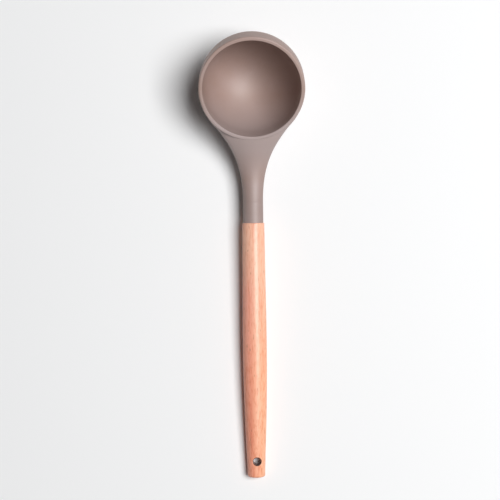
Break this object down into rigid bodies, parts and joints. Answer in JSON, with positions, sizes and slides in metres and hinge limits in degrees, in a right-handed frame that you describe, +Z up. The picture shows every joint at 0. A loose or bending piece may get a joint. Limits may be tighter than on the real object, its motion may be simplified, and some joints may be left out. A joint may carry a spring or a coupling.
{
  "type": "soup ladle",
  "caption": "Soup ladle with a deep round silicone bowl, a neck that flares into its rim, and an oval wooden handle with a hanging hole.",
  "frame": {"origin": "bottom centre of the bounding box of the ladle as it lies on a table, on the bottom of its bowl and the end of its handle", "axes": "+Z up, +Y from the handle's end towards the bowl, +X to the right of someone who looks down with the bowl away from them"},
  "size_m": [0.076, 0.3244, 0.0635],
  "materials": {
    "silicone": "matt",
    "nylon": "matt",
    "steel": "drawn",
    "adhesive": "cured",
    "beech": "satin"
  },
  "bodies": {
    "root": {"silicone_head": "silicone", "nylon_core": "nylon", "steel_tang": "steel", "epoxy_bond": "adhesive", "wooden_handle": "beech"}
  },
  "joints": []
}
